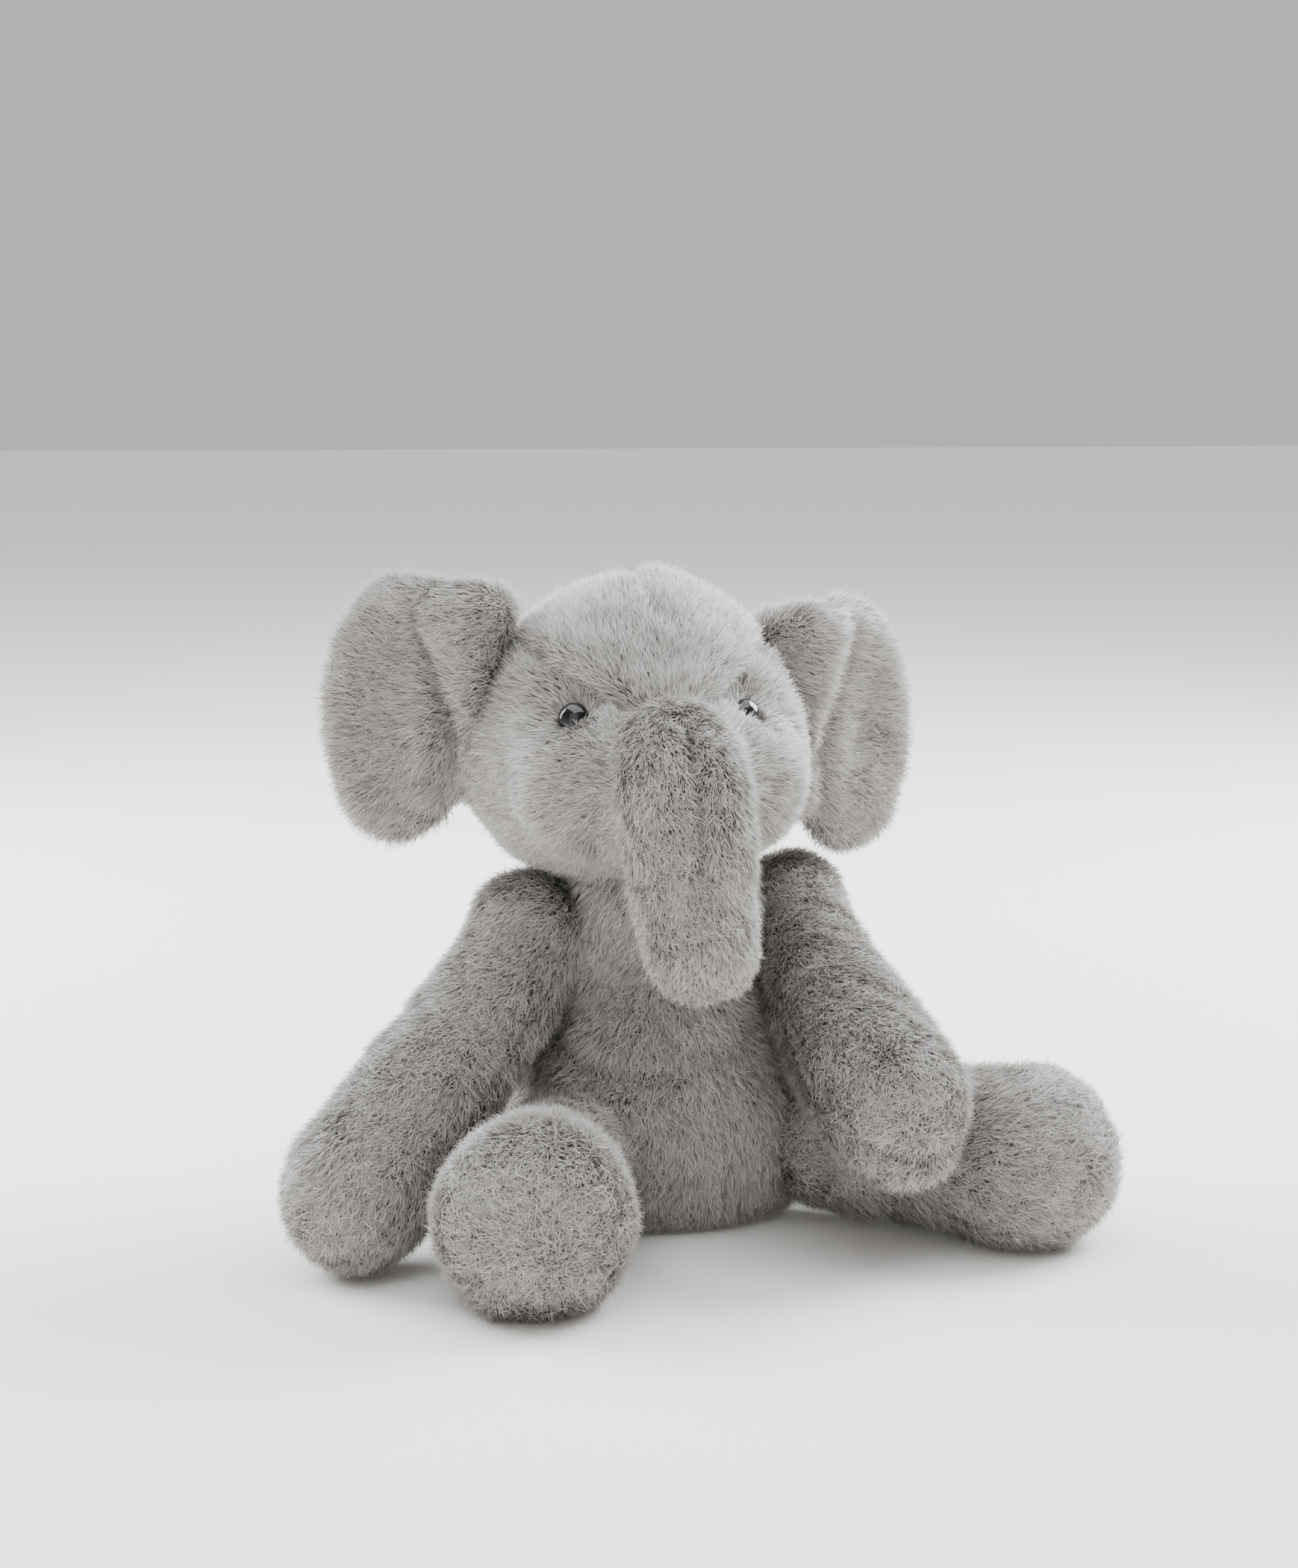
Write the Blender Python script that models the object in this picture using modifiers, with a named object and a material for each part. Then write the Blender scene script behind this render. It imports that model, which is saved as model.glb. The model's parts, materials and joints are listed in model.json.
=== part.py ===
"""A seated plush elephant in light grey pile fabric, built panel by panel as it is sewn.

The toy sits on z = 0 and faces -Y, with its own left side at +X. Each soft member is a cover of
pile fabric over a stuffing, and each member that flops on the real toy turns about its own seam.
Lengths in the tables are millimetres; MM turns them to metres.
"""

import math

import bmesh
import bpy
from mathutils import Matrix, Vector

MM = 0.001

# Driving dimensions
COVER = 5.0  # pile fabric pressed flat: 1 mm of knitted backing and its pile
GAP = 0.3  # between panels that meet at a seam
SLACK = 1.0  # between a cover and the stuffing inside it
DEPTH_SHARE = 0.92  # how deep the torso and the head are for their width
STEPS = 24  # facets round the torso and the head
LIMB_STEPS = 16  # facets round an arm, a leg or the trunk
EYE_DIAMETER = 12.0
SEAM_BLOCK_REACH = 320.0  # a block that keeps one side of a seam reaches past any panel

# Profiles, as (radius, height) from the seat or along the limb from its own joint
TORSO = [(50, 0), (60, 7), (67, 22), (67.5, 38), (62, 56), (53, 73), (45, 88), (38.5, 101), (33, 112),
         (27, 119.5), (22, 122.5)]
SEAT_RADIUS = 46.5
WEIGHT_BAG = [(0, 5.8), (36, 5.8), (43, 9), (42, 14), (30, 17.5), (0, 18.5)]
WEIGHT_BAG_TOP = 20.0
NECK_OPENING = 111.0
HEAD = [(22, 135), (37, 140), (50.5, 147.5), (60.5, 158.5), (65, 171.5), (65, 182), (61.5, 196), (55, 211),
        (45, 226), (31, 238), (14, 245.5), (0, 247)]
ARM = [(11, 8), (14.5, 15), (17, 26), (20, 42), (23.5, 66), (25.5, 90), (26.5, 110), (25.5, 128), (20, 142),
       (11, 150), (0, 152.5)]
LEG = [(13, 8), (18.5, 15), (21.5, 26), (23.5, 40), (26, 54), (28.5, 66), (31, 78), (31.8, 88), (30, 97)]
SOLE_INSIDE = 94.0
SOLE = [(23.9, 94), (21.3, 101), (12.5, 104.8), (0, 106)]
TRUNK_UPPER = [(9, 0.02), (17, 0.06), (22.5, 0.14), (23.5, 0.24), (21.5, 0.38), (17, 0.48), (8, 0.535)]
TRUNK_LOWER = [(8, 0.58), (16.5, 0.625), (19, 0.70), (18.5, 0.82), (19, 0.92), (18, 0.975)]
TRUNK_END = [(0, 0.955), (13.2, 0.955), (13.2, 0.972), (9, 0.995), (0, 1.0)]
TRUNK_STUFFING_INSET, TRUNK_STUFFING_MARGIN = 7.5, 0.08
TAIL = [(3.5, 4), (7.5, 9), (8, 20), (7, 32), (4, 39), (0, 41)]

HEAD_STUFFING = 146.5, 241.0  # its lowest and highest points
NECK_WAD_RADIUS = 10.5
THREAD_RING, THREAD_HEIGHT, THREAD_RADIUS = 24.5, 124.6, 1.1
BROW_SEAM_LOW, BROW_SEAM_HIGH = 192.0, (54.0, 228.0)
WEDGE_REACH = 100.0
EYE_RIM, EYE_RISE, EYE_STEPS = 0.8, 3.6, 20
STEM_RADIUS, STEM_LENGTH = 1.8, 9.0
WASHER_RADIUS, WASHER_HOLE, WASHER_THICKNESS, WASHER_DEPTH = 7.0, 2.1, 1.6, 7.2
SHOULDER_WAD_RADIUS, HIP_WAD_RADIUS = 9.5, 10.5

# Places
NECK = Vector((-5, -3.5, 127))
HEAD_AXIS = Vector((-12, -5, 0))
HEAD_TURN = math.radians(-11)
SHOULDER = Vector((55, -3, 108))
HIP_RADIUS, HIP_HEIGHT, HIP_DEPTH_SHARE = 79.0, 31.0, 0.97
TRUNK_SPINE = [Vector((0, -65, 173)), Vector((1, -96, 162)), Vector((-5, -86, 128)), Vector((8, -104, 109))]
TAIL_ROOT = Vector((0, 63, 44))
TAIL_DIRECTION = Vector((0, 0.75, -0.66))
EYE_AZIMUTH, EYE_HEIGHT = math.radians(36), 200.0
EYE_POCKET_DEPTH = 4.0
ARM_DIRECTION = {"left": Vector((-13, -112, -49)), "right": Vector((-83, -42, -76))}
HIP_AZIMUTH = {"left": math.radians(42), "right": math.radians(-52)}
LEG_AZIMUTH = {"left": math.radians(42), "right": math.radians(-29)}
SIDES = {"left": 1, "right": -1}

# An ear is an egg-shaped lens, in its own frame: X outward, Y to the back, Z up, from its hinge
EAR_HINGE = {"left": Vector((67.5, 5, 190)), "right": Vector((67, 5, 200))}
EAR_SWEEP = {"left": math.radians(31), "right": math.radians(22)}
EAR_REACH = {"root": 26.0, "tip": 27.0, "up": 50.0, "down": 53.0}
EAR_CENTRE = 24.5
EAR_HALF_THICKNESS = 10.0
EAR_COVER = 4.0
EAR_CUP = 7.0
EAR_RINGS = [0, 0.3, 0.58, 0.8, 0.94, 1.0]

MATERIALS = {
    "plush": ((0.48, 0.46, 0.44), 0.95),
    "fibre_fill": ((0.88, 0.88, 0.86), 0.9),
    "calico": ((0.80, 0.77, 0.70), 0.9),
    "eye_plastic": ((0.015, 0.015, 0.017), 0.12),
    "washer_plastic": ((0.80, 0.80, 0.78), 0.45),
    "thread": ((0.42, 0.40, 0.38), 0.8),
}


def clear_scene():
    for obj in list(bpy.data.objects):
        bpy.data.objects.remove(obj, do_unlink=True)


def new_collection(name):
    made = bpy.data.collections.new(name)
    bpy.context.scene.collection.children.link(made)
    return made


def material(name):
    """The Principled material of that name, made once."""
    if name in bpy.data.materials:
        return bpy.data.materials[name]
    colour, roughness = MATERIALS[name]
    made = bpy.data.materials.new(name)
    made.use_nodes = True
    shader = made.node_tree.nodes["Principled BSDF"]
    shader.inputs["Base Color"].default_value = (*colour, 1)
    shader.inputs["Roughness"].default_value = roughness
    shader.inputs["Metallic"].default_value = 0
    return made


def object_from(bm, name, finish, collection):
    """Makes a named object from a bmesh whose points are millimetres in the object's own frame."""
    bmesh.ops.scale(bm, vec=(MM, MM, MM), verts=bm.verts)
    mesh = bpy.data.meshes.new(name)
    bm.to_mesh(mesh)
    bm.free()
    mesh.shade_smooth()
    made = bpy.data.objects.new(name, mesh)
    if finish:
        mesh.materials.append(material(finish))
    collection.objects.link(made)
    return made


def place(obj, at, turn=None):
    obj.location = at * MM
    if turn is not None:
        obj.rotation_mode = "QUATERNION"
        obj.rotation_quaternion = turn.to_quaternion()
    return obj


def facing(direction, up=Vector((0, 0, 1))):
    """A turn that carries +Z along direction and keeps +Y as near to up as it can."""
    z = direction.normalized()
    x = up.cross(z).normalized()
    return Matrix((x, z.cross(x), z)).transposed()


def thicken(obj, thickness=COVER):
    """Gives an open surface its cloth thickness, inwards."""
    wall = obj.modifiers.new("cloth", "SOLIDIFY")
    wall.thickness = thickness * MM
    wall.offset = -1
    wall.use_even_offset = True
    return obj


def boolean(obj, cutter, operation="DIFFERENCE"):
    cut = obj.modifiers.new(cutter.name, "BOOLEAN")
    cut.operation = operation
    cut.object = cutter
    cut.solver = "EXACT"


def spun(profile, steps):
    """A bmesh of a (radius, height) profile turned once round Z, facing outwards."""
    bm = bmesh.new()
    rail = [bm.verts.new((r, 0, h)) for r, h in profile]
    for low, high in zip(rail, rail[1:]):
        bm.edges.new((low, high))
    around = {"cent": (0, 0, 0), "axis": (0, 0, 1), "angle": 2 * math.pi, "steps": steps}
    bmesh.ops.spin(bm, geom=bm.verts[:] + bm.edges[:], **around)
    bmesh.ops.remove_doubles(bm, verts=bm.verts, dist=0.001)
    widest = max(bm.faces, key=lambda f: f.calc_center_median().xy.length)
    if widest.normal.dot(Vector((*widest.calc_center_median().xy, 0))) < 0:
        bmesh.ops.reverse_faces(bm, faces=bm.faces)
    return bm


def inset(profile, distance):
    """The profile moved inwards by distance, square to its own slope."""
    moved = []
    for i, (r, h) in enumerate(profile):
        before, after = profile[max(i - 1, 0)], profile[min(i + 1, len(profile) - 1)]
        slope = Vector((after[0] - before[0], after[1] - before[1])).normalized()
        moved.append((r - distance * slope.y, h + distance * slope.x))
    return moved


def core_profile(profile, low, high, distance=COVER + SLACK):
    """A closed profile for the stuffing inside a cover, flat-ended at heights low and high."""
    inner = [(r, h) for r, h in inset(profile, distance) if low < h < high and r > 0.5]

    def radius_at(height):
        points = sorted(inset(profile, distance), key=lambda p: p[1])
        for (r0, h0), (r1, h1) in zip(points, points[1:]):
            if h0 <= height <= h1:
                return r0 + (r1 - r0) * (height - h0) / max(h1 - h0, 1e-6)
        return min(points, key=lambda p: abs(p[1] - height))[0]

    ends = (max(radius_at(low), 1.0), low), (max(radius_at(high), 1.0), high)
    return [(0, low), ends[0], *inner, ends[1], (0, high)]


def flatten(bm):
    """Makes a turned shape less deep than it is wide."""
    bmesh.ops.scale(bm, vec=(1, DEPTH_SHARE, 1), verts=bm.verts)
    return bm


def as_cutter(obj):
    obj.hide_render = True
    obj.display_type = "WIRE"
    return obj


def cylinder_cutter(name, radius, low, high, at, turn, collection):
    bm = bmesh.new()
    bmesh.ops.create_cone(bm, cap_ends=True, segments=16, radius1=radius, radius2=radius, depth=high - low,
                          matrix=Matrix.Translation((0, 0, (low + high) / 2)))
    return as_cutter(place(object_from(bm, name, None, collection), at, turn))


def half_space(name, towards, at, turn, cutters):
    """A block that holds everything on one side of a seam, half a seam gap away from it."""
    bm = bmesh.new()
    bmesh.ops.create_cube(bm, size=2 * SEAM_BLOCK_REACH)
    bmesh.ops.translate(bm, vec=towards * (SEAM_BLOCK_REACH + GAP / 2), verts=bm.verts)
    return as_cutter(place(object_from(bm, name, None, cutters), at, turn))


def sewn_in_two(make, names, towards, at, turn, parts, cutters, thickness=COVER):
    """Two panels of one cover, which meet at the seam square to towards."""
    halves = []
    for name, direction in zip(names, (towards, -towards)):
        panel = place(thicken(object_from(make(), name, "plush", parts), thickness), at, turn)
        boolean(panel, half_space(f"{name}_side", direction, at, turn, cutters), "INTERSECT")
        halves.append(panel)
    return halves


def build_torso(parts, cutters):
    """Front and back body panels on an oval seat panel, with a weight bag under the stuffing."""
    sewn_in_two(lambda: flatten(spun(TORSO, STEPS)), ("torso_front_cover", "torso_back_cover"),
                Vector((0, -1, 0)), Vector(), Matrix.Identity(3), parts, cutters)
    seat = [(0, 0), (SEAT_RADIUS, 0), (SEAT_RADIUS, COVER), (0, COVER)]
    object_from(flatten(spun(seat, STEPS)), "seat_panel", "plush", parts)
    object_from(flatten(spun(WEIGHT_BAG, STEPS)), "seat_weight_bag", "calico", parts)
    core = core_profile(TORSO, WEIGHT_BAG_TOP, NECK_OPENING)
    object_from(flatten(spun(core, STEPS)), "torso_stuffing", "fibre_fill", parts)


def build_neck(parts):
    """The wad that stiffens the neck, and the gathering thread that closes the torso round it."""
    bm = bmesh.new()
    bmesh.ops.create_uvsphere(bm, u_segments=16, v_segments=10, radius=NECK_WAD_RADIUS)
    place(object_from(bm, "neck_wad", "fibre_fill", parts), NECK)
    ring = []
    for a in [math.radians(60 * i) for i in range(7)]:
        ring.append((THREAD_RING + THREAD_RADIUS * math.cos(a), THREAD_HEIGHT + THREAD_RADIUS * math.sin(a)))
    object_from(flatten(spun(ring, STEPS)), "neck_seam_thread", "thread", parts)


def head_turn():
    return Matrix.Rotation(HEAD_TURN, 3, "Z")


def head_surface(azimuth, height):
    """A point on the head's cover and the outward direction there, in the head's own frame."""
    for (r0, h0), (r1, h1) in zip(HEAD, HEAD[1:]):
        if h0 <= height <= h1:
            radius = r0 + (r1 - r0) * (height - h0) / (h1 - h0)
            rise = (r0 - r1) / (h1 - h0)
            break
    x, y = radius * math.sin(azimuth), -radius * math.cos(azimuth) * DEPTH_SHARE
    return Vector((x, y, height)), Vector((x, y / DEPTH_SHARE**2, radius * rise)).normalized()


def crown_wedge(name, margin, cutters):
    """A V-shaped prism through the head, front to back, that holds the crown panel."""
    low, (side, high) = BROW_SEAM_LOW - margin, BROW_SEAM_HIGH
    right = [(side + margin, high), (WEDGE_REACH, 2 * high)]
    outline = [(0, low), *right, *[(-x, z) for x, z in reversed(right)]]
    bm = bmesh.new()
    face = bm.faces.new([bm.verts.new((x, -WEDGE_REACH, z)) for x, z in outline])
    grown = bmesh.ops.extrude_face_region(bm, geom=[face])["geom"]
    back = [g for g in grown if isinstance(g, bmesh.types.BMVert)]
    bmesh.ops.translate(bm, vec=(0, 2 * WEDGE_REACH, 0), verts=back)
    bmesh.ops.recalc_face_normals(bm, faces=bm.faces)
    return as_cutter(place(object_from(bm, name, None, cutters), HEAD_AXIS, head_turn()))


def build_head(parts, cutters):
    """Two side panels and the crown panel between the brow seams, over one stuffing."""
    placed = HEAD_AXIS, head_turn()
    inside, outside = crown_wedge("crown_in", 0, cutters), crown_wedge("crown_out", GAP, cutters)
    crown = thicken(object_from(flatten(spun(HEAD, STEPS)), "head_crown_cover", "plush", parts))
    boolean(place(crown, *placed), inside, "INTERSECT")
    filling = flatten(spun(core_profile(HEAD, *HEAD_STUFFING), STEPS))
    core = object_from(filling, "head_stuffing", "fibre_fill", parts)
    place(core, *placed)
    covers = sewn_in_two(lambda: flatten(spun(HEAD, STEPS)), [f"head_{side}_cover" for side in SIDES],
                         Vector((1, 0, 0)), *placed, parts, cutters)
    for side, cover in zip(SIDES, covers):
        boolean(cover, outside)
        build_eye(side, cover, core, parts, cutters)


def build_eye(side, cover, core, parts, cutters):
    """A safety eye in a pocket of the pile: its stem goes through the backing into a washer."""
    point, out = head_surface(SIDES[side] * EYE_AZIMUTH, EYE_HEIGHT)
    point, out = HEAD_AXIS + head_turn() @ point, head_turn() @ out
    turn, radius = facing(out), EYE_DIAMETER / 2
    base, under = -EYE_POCKET_DEPTH + GAP, -WASHER_DEPTH
    angles = [math.radians(18 * i) for i in range(5)]
    dome = [(radius * math.cos(a), base + EYE_RIM + EYE_RISE * math.sin(a)) for a in angles]
    stem = [(0, base - STEM_LENGTH), (STEM_RADIUS, base - STEM_LENGTH), (STEM_RADIUS, base)]
    eye = spun([*stem, (radius, base), *dome, (0, base + EYE_RIM + EYE_RISE)], EYE_STEPS)
    place(object_from(eye, f"eye_{side}", "eye_plastic", parts), point, turn)
    edge = [(r, z) for z in (under - WASHER_THICKNESS, under) for r in (WASHER_HOLE, WASHER_RADIUS)]
    washer = spun([edge[0], edge[1], edge[3], edge[2], edge[0]], EYE_STEPS)
    place(object_from(washer, f"eye_washer_{side}", "washer_plastic", parts), point, turn)
    pocket = cylinder_cutter(f"pocket_{side}", radius + 0.6, -EYE_POCKET_DEPTH, 8, point, turn, cutters)
    hole = cylinder_cutter(f"stem_hole_{side}", STEM_RADIUS + 0.4, -12, 4, point, turn, cutters)
    deepest = base - STEM_LENGTH - 0.6
    room = cylinder_cutter(f"washer_room_{side}", WASHER_RADIUS + 0.8, deepest, 4, point, turn, cutters)
    boolean(cover, pocket)
    boolean(cover, hole)
    boolean(core, room)


def trunk_point(t):
    """A point on the trunk's centre line and its direction there, t from 0 at the face to 1 at the tip."""
    a, b, c, d = TRUNK_SPINE
    s = 1 - t
    point = a * s**3 + b * 3 * s * s * t + c * 3 * s * t * t + d * t**3
    along = (b - a) * 3 * s * s + (c - b) * 6 * s * t + (d - c) * 3 * t * t
    return point, along.normalized()


def along_trunk(bm):
    """Carries a shape turned about Z, whose heights are hundredths of the trunk's length, onto the trunk."""
    for vert in bm.verts:
        point, along = trunk_point(vert.co.z / 100)
        side = Vector((1, 0, 0))
        side = (side - along * side.dot(along)).normalized()
        vert.co = point + side * vert.co.x + side.cross(along) * -vert.co.y
    return bm


def hundredths(profile):
    return [(r, 100 * t) for r, t in profile]


def narrowed(profile):
    """A trunk profile made thinner all round for the stuffing, and drawn in at both ends."""
    low, high = profile[0][1] + TRUNK_STUFFING_MARGIN, profile[-1][1] - TRUNK_STUFFING_MARGIN
    inner = [(r - TRUNK_STUFFING_INSET, t) for r, t in profile if low < t < high]
    return [(0, low), (inner[0][0] * 0.7, low), *inner, (inner[-1][0] * 0.7, high), (0, high)]


def build_trunk(parts, cutters):
    """An upper length of two panels joined down the front, and a lower length with its round end."""
    placed = HEAD_AXIS, head_turn()
    sewn_in_two(lambda: along_trunk(spun(hundredths(TRUNK_UPPER), LIMB_STEPS)),
                [f"trunk_{side}_cover" for side in SIDES], Vector((1, 0, 0)), *placed, parts, cutters, 4)
    pieces = {
        "trunk_stuffing": (narrowed(TRUNK_UPPER), "fibre_fill"),
        "trunk_tip_stuffing": (narrowed(TRUNK_LOWER), "fibre_fill"),
    }
    for name, (profile, finish) in pieces.items():
        place(object_from(along_trunk(spun(hundredths(profile), LIMB_STEPS)), name, finish, parts), *placed)
    tip = along_trunk(spun(hundredths(TRUNK_LOWER), LIMB_STEPS))
    place(thicken(object_from(tip, "trunk_tip_cover", "plush", parts), 4), *placed)
    end = along_trunk(spun(hundredths(TRUNK_END), LIMB_STEPS))
    place(object_from(end, "trunk_end_panel", "plush", parts), *placed)


def ear_shape(ring, around, thickness):
    """A point of the ear: ring 0 at its middle to 1 at its edge, thickness across it to the front."""
    x, z = math.cos(around), math.sin(around)
    x *= EAR_REACH["tip"] if x > 0 else EAR_REACH["root"]
    z *= EAR_REACH["up"] if z > 0 else EAR_REACH["down"]
    forward = thickness + EAR_CUP * ring * ring * max(math.cos(around), 0)
    return Vector((EAR_CENTRE + ring * x, -forward, ring * z))


def ear_bowl(bm, front, rise, reach):
    """Half of the lens, as rings of vertices from its middle to its edge. Gives the edge ring."""
    rings = [(q * reach, front * rise * math.sqrt(max(1 - q**2.6, 0))) for q in EAR_RINGS]
    loop = [bm.verts.new(ear_shape(0, 0, rings[0][1]))] * STEPS
    for q, t in rings[1:]:
        inner, loop = loop, [bm.verts.new(ear_shape(q, 2 * math.pi * i / STEPS, t)) for i in range(STEPS)]
        for i in range(STEPS):
            corners = [inner[i - 1], loop[i - 1], loop[i], inner[i]]
            bm.faces.new(list(dict.fromkeys(corners)))
    return loop


def ear_panel(front, outer, inner):
    """A closed shell between two bowls, each a (rise, reach), or with no inner one a whole lens."""
    bm = bmesh.new()
    edge = ear_bowl(bm, front, *outer)
    other = ear_bowl(bm, front, *inner) if inner else ear_bowl(bm, -front, *outer)
    if inner:
        for i in range(STEPS):
            bm.faces.new([edge[i - 1], edge[i], other[i], other[i - 1]])
    else:
        bmesh.ops.remove_doubles(bm, verts=bm.verts, dist=0.001)
    bmesh.ops.recalc_face_normals(bm, faces=bm.faces)
    return bm


def build_ears(parts):
    """Each ear is a front and a back panel round a flat wadding."""
    outer = EAR_HALF_THICKNESS, 1.0
    inner = EAR_HALF_THICKNESS - EAR_COVER, 1 - EAR_COVER / EAR_REACH["root"]
    wadding = EAR_HALF_THICKNESS - EAR_COVER - SLACK, 1 - (EAR_COVER + SLACK) / EAR_REACH["root"]
    for side, sign in SIDES.items():
        at = HEAD_AXIS + head_turn() @ (Vector((sign, 1, 1)) * EAR_HINGE[side])
        turn = head_turn() @ Matrix.Rotation(sign * EAR_SWEEP[side], 3, "Z")
        pieces = {
            f"ear_{side}_front_cover": (ear_panel(1, outer, inner), "plush", -GAP / 2),
            f"ear_{side}_back_cover": (ear_panel(-1, outer, inner), "plush", GAP / 2),
            f"ear_{side}_wadding": (ear_panel(1, wadding, None), "fibre_fill", 0),
        }
        for name, (bm, finish, shift) in pieces.items():
            bmesh.ops.translate(bm, vec=(0, shift, 0), verts=bm.verts)
            mirror_to(bm, sign)
            place(object_from(bm, name, finish, parts), at, turn)


def mirror_to(bm, sign):
    if sign < 0:
        bmesh.ops.scale(bm, vec=(-1, 1, 1), verts=bm.verts)
        bmesh.ops.reverse_faces(bm, faces=bm.faces)


def root_wad(name, at, radius, parts):
    """The small firm ball of stuffing where a limb is gathered and sewn to the torso."""
    bm = bmesh.new()
    bmesh.ops.create_uvsphere(bm, u_segments=12, v_segments=8, radius=radius)
    place(object_from(bm, name, "fibre_fill", parts), at)


def build_arm(side, parts, cutters):
    at = Vector((SIDES[side] * SHOULDER.x, SHOULDER.y, SHOULDER.z))
    turn = facing(ARM_DIRECTION[side])
    root_wad(f"shoulder_{side}_wad", at, SHOULDER_WAD_RADIUS, parts)
    sewn_in_two(lambda: spun(ARM, LIMB_STEPS), [f"arm_{side}_{half}_cover" for half in ("upper", "under")],
                Vector((0, 1, 0)), at, turn, parts, cutters)
    core = spun(core_profile(ARM, 16, 144), LIMB_STEPS)
    place(object_from(core, f"arm_{side}_stuffing", "fibre_fill", parts), at, turn)


def hip_place(side):
    azimuth = HIP_AZIMUTH[side]
    forward = -HIP_RADIUS * math.cos(azimuth) * HIP_DEPTH_SHARE
    return Vector((HIP_RADIUS * math.sin(azimuth), forward, HIP_HEIGHT))


def build_leg(side, parts):
    at = hip_place(side)
    azimuth = LEG_AZIMUTH[side]
    foot_radius, foot_at = max(LEG)
    rise = (foot_radius - HIP_HEIGHT) / foot_at
    turn = facing(Vector((math.sin(azimuth), -math.cos(azimuth), rise)))
    root_wad(f"hip_{side}_wad", at, HIP_WAD_RADIUS, parts)
    cover = object_from(spun(LEG, LIMB_STEPS), f"leg_{side}_cover", "plush", parts)
    place(thicken(cover), at, turn)
    sole = spun([(0, SOLE_INSIDE), *SOLE], LIMB_STEPS)
    place(object_from(sole, f"foot_{side}_sole", "plush", parts), at, turn)
    core = spun(core_profile(LEG, 16, SOLE_INSIDE - SLACK), LIMB_STEPS)
    place(object_from(core, f"leg_{side}_stuffing", "fibre_fill", parts), at, turn)


def build_tail(parts):
    tail = spun([(0, TAIL[0][1]), *TAIL], 12)
    place(object_from(tail, "tail", "plush", parts), TAIL_ROOT, facing(TAIL_DIRECTION))


def main():
    clear_scene()
    bpy.context.scene.unit_settings.system = "METRIC"
    parts = new_collection("plush_elephant")
    cutters = new_collection("cutters")
    build_torso(parts, cutters)
    build_neck(parts)
    build_head(parts, cutters)
    build_trunk(parts, cutters)
    build_ears(parts)
    for side in SIDES:
        build_arm(side, parts, cutters)
        build_leg(side, parts)
    build_tail(parts)


main()
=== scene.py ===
"""The looks of a seated plush elephant, built round its CAD frame: padded cloth forms, the pile that
grows from them, the safety eyes and a plain stage. Lengths are metres, and *_MM values millimetres."""

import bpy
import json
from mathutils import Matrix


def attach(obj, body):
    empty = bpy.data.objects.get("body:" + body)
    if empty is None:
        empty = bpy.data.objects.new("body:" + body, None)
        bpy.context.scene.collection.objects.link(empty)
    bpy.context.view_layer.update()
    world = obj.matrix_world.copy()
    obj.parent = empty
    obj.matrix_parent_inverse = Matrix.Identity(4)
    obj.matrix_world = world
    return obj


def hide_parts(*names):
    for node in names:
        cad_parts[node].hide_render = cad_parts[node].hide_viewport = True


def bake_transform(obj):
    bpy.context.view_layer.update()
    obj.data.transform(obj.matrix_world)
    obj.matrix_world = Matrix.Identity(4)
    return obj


bl_info = {
    "name": "Plush elephant looks",
    "version": (1, 0, 0),
    "blender": (4, 5, 0),
    "location": "3D View > Sidebar > Plush",
    "description": "Adds the padded forms, pile, eyes and stage of a seated plush elephant",
    "category": "Add Mesh",
}

import itertools
import json
import math

import bmesh
import bpy
import numpy as np
from bpy.props import FloatProperty, FloatVectorProperty, IntProperty, PointerProperty
from mathutils import Matrix, Vector
from mathutils.bvhtree import BVHTree

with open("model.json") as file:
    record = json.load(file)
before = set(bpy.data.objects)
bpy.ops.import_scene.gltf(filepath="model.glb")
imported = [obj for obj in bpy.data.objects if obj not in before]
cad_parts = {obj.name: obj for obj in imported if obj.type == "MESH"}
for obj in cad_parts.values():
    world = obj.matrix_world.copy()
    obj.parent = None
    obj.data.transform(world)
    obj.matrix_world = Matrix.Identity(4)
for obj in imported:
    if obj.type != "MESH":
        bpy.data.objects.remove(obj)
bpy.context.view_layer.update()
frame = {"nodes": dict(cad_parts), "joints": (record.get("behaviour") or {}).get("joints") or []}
MM = 0.001
UP = Vector((0, 0, 1))
SIDES = {"left": 1, "right": -1}
FORMS = {}  # the padded forms by name, which each pile grows from

FILLING_FRAMES = 20  # length of the simulation that swells a form
CLOTH_CLEARANCE = 1.2 * MM  # between the cloth and the floor
FIBRE_CLEARANCE = 0.3 * MM  # between the lowest fibres and the floor
PRESSED_BELOW = 4 * MM  # height under which the toy's weight thins its pile
PRESSED_SHARE = 0.45
PARTED_WITHIN = 5 * MM  # distance from a seam over which the pile grows to its full length
STITCH_SIZE = 1.2 * MM


def linear(code):
    """An sRGB hex colour as linear red, green and blue."""
    parts = [int(code[i : i + 2], 16) / 255 for i in (0, 2, 4)]
    return [c / 12.92 if c <= 0.04045 else ((c + 0.055) / 1.055) ** 2.4 for c in parts]


# Sizes and colours that a user would change


class PlushPileSettings(bpy.types.PropertyGroup):
    length: FloatProperty(
        name="Pile length", description="Length of a fibre of the pile", default=9.0 * MM, unit="LENGTH"
    )
    width: FloatProperty(
        name="Fibre width", description="Width of one drawn lock of fibres", default=0.4 * MM, unit="LENGTH"
    )
    lay: FloatProperty(
        name="Lay",
        description="How steeply the pile stands from the cloth",
        default=math.radians(46),
        subtype="ANGLE",
    )
    density: FloatProperty(
        name="Density", description="Locks of fibres on each square millimetre", default=4.1
    )
    clump: FloatProperty(
        name="Clump size",
        description="Distance between the tufts that the fibres gather in",
        default=2.3 * MM,
        unit="LENGTH",
    )
    seed: IntProperty(name="Seed", description="Start of every random draw", default=7)


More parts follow.
